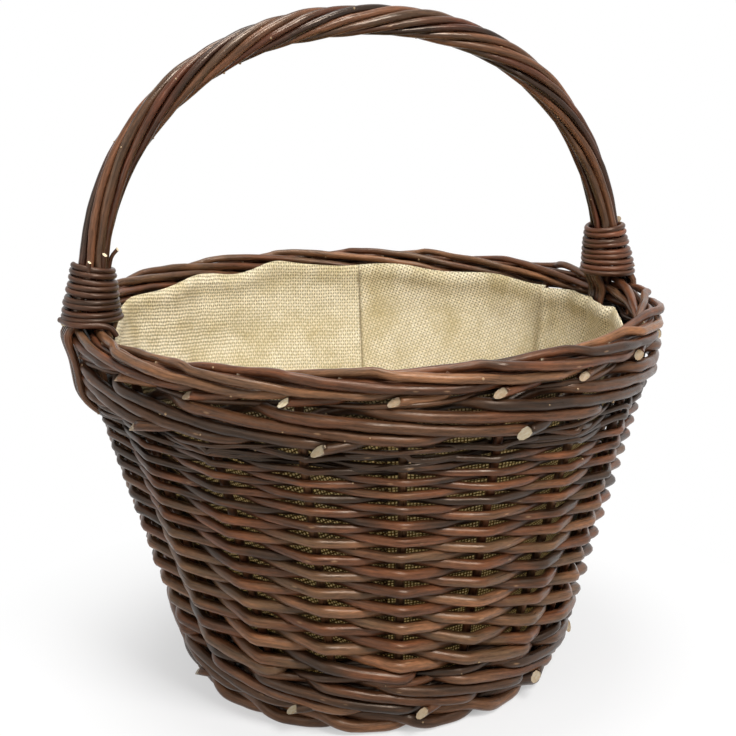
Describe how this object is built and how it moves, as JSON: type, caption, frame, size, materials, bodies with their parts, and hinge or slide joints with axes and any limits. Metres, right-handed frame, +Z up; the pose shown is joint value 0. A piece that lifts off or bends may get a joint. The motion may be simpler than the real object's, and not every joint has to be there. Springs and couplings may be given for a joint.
{
  "type": "willow basket",
  "caption": "Round, flaring basket of unpeeled willow with a roped hoop handle lashed across its border, a hessian lining and a rolled foot, for carrying and storing things.",
  "frame": {"origin": "on the ground under the middle of the basket", "axes": "+Z up along the basket's axis, +X from foot to foot of the handle, +Y across the handle"},
  "size_m": [0.4089, 0.3962, 0.4498],
  "materials": {
    "foot_willow": "unpeeled bark, dull",
    "base_willow": "unpeeled bark, dull",
    "stake_willow": "unpeeled bark, faint sheen",
    "wale_willow": "unpeeled bark, faint sheen",
    "rand_willow": "unpeeled bark, faint sheen",
    "handle_willow": "unpeeled bark, faint sheen",
    "lashing_willow": "unpeeled bark, faint sheen",
    "hessian": "coarse plain weave, undyed"
  },
  "bodies": {
    "root": {"foot_rope_1": "foot_willow", "foot_rope_2": "foot_willow", "base_stick_1": "base_willow", "base_stick_2": "base_willow", "base_stick_3": "base_willow", "base_stick_4": "base_willow", "base_stick_5": "base_willow", "base_weave": "base_willow", "stake_01": "stake_willow", "stake_02": "stake_willow", "stake_03": "stake_willow", "stake_04": "stake_willow", "stake_05": "stake_willow", "stake_06": "stake_willow", "stake_07": "stake_willow", "stake_08": "stake_willow", "stake_09": "stake_willow", "stake_10": "stake_willow", "stake_11": "stake_willow", "stake_12": "stake_willow", "stake_13": "stake_willow", "stake_14": "stake_willow", "stake_15": "stake_willow", "stake_16": "stake_willow", "stake_17": "stake_willow", "stake_18": "stake_willow", "stake_19": "stake_willow", "stake_20": "stake_willow", "upsett_wale_1": "wale_willow", "upsett_wale_2": "wale_willow", "upsett_wale_3": "wale_willow", "upsett_wale_4": "wale_willow", "top_wale_1": "wale_willow", "top_wale_2": "wale_willow", "top_wale_3": "wale_willow", "top_wale_4": "wale_willow", "rand_rod_01": "rand_willow", "rand_rod_02": "rand_willow", "rand_rod_03": "rand_willow", "rand_rod_04": "rand_willow", "rand_rod_05": "rand_willow", "rand_rod_06": "rand_willow", "rand_rod_07": "rand_willow", "rand_rod_08": "rand_willow", "rand_rod_09": "rand_willow", "rand_rod_10": "rand_willow", "handle_bow": "handle_willow", "handle_strand_1": "handle_willow", "handle_strand_2": "handle_willow", "handle_strand_3": "handle_willow", "handle_strand_4": "handle_willow", "handle_strand_5": "handle_willow", "handle_strand_6": "handle_willow", "handle_strand_7": "handle_willow", "handle_strand_8": "handle_willow", "lashing_left": "lashing_willow", "lashing_right": "lashing_willow", "lining_left": "hessian", "lining_right": "hessian", "lining_floor": "hessian"}
  },
  "joints": []
}
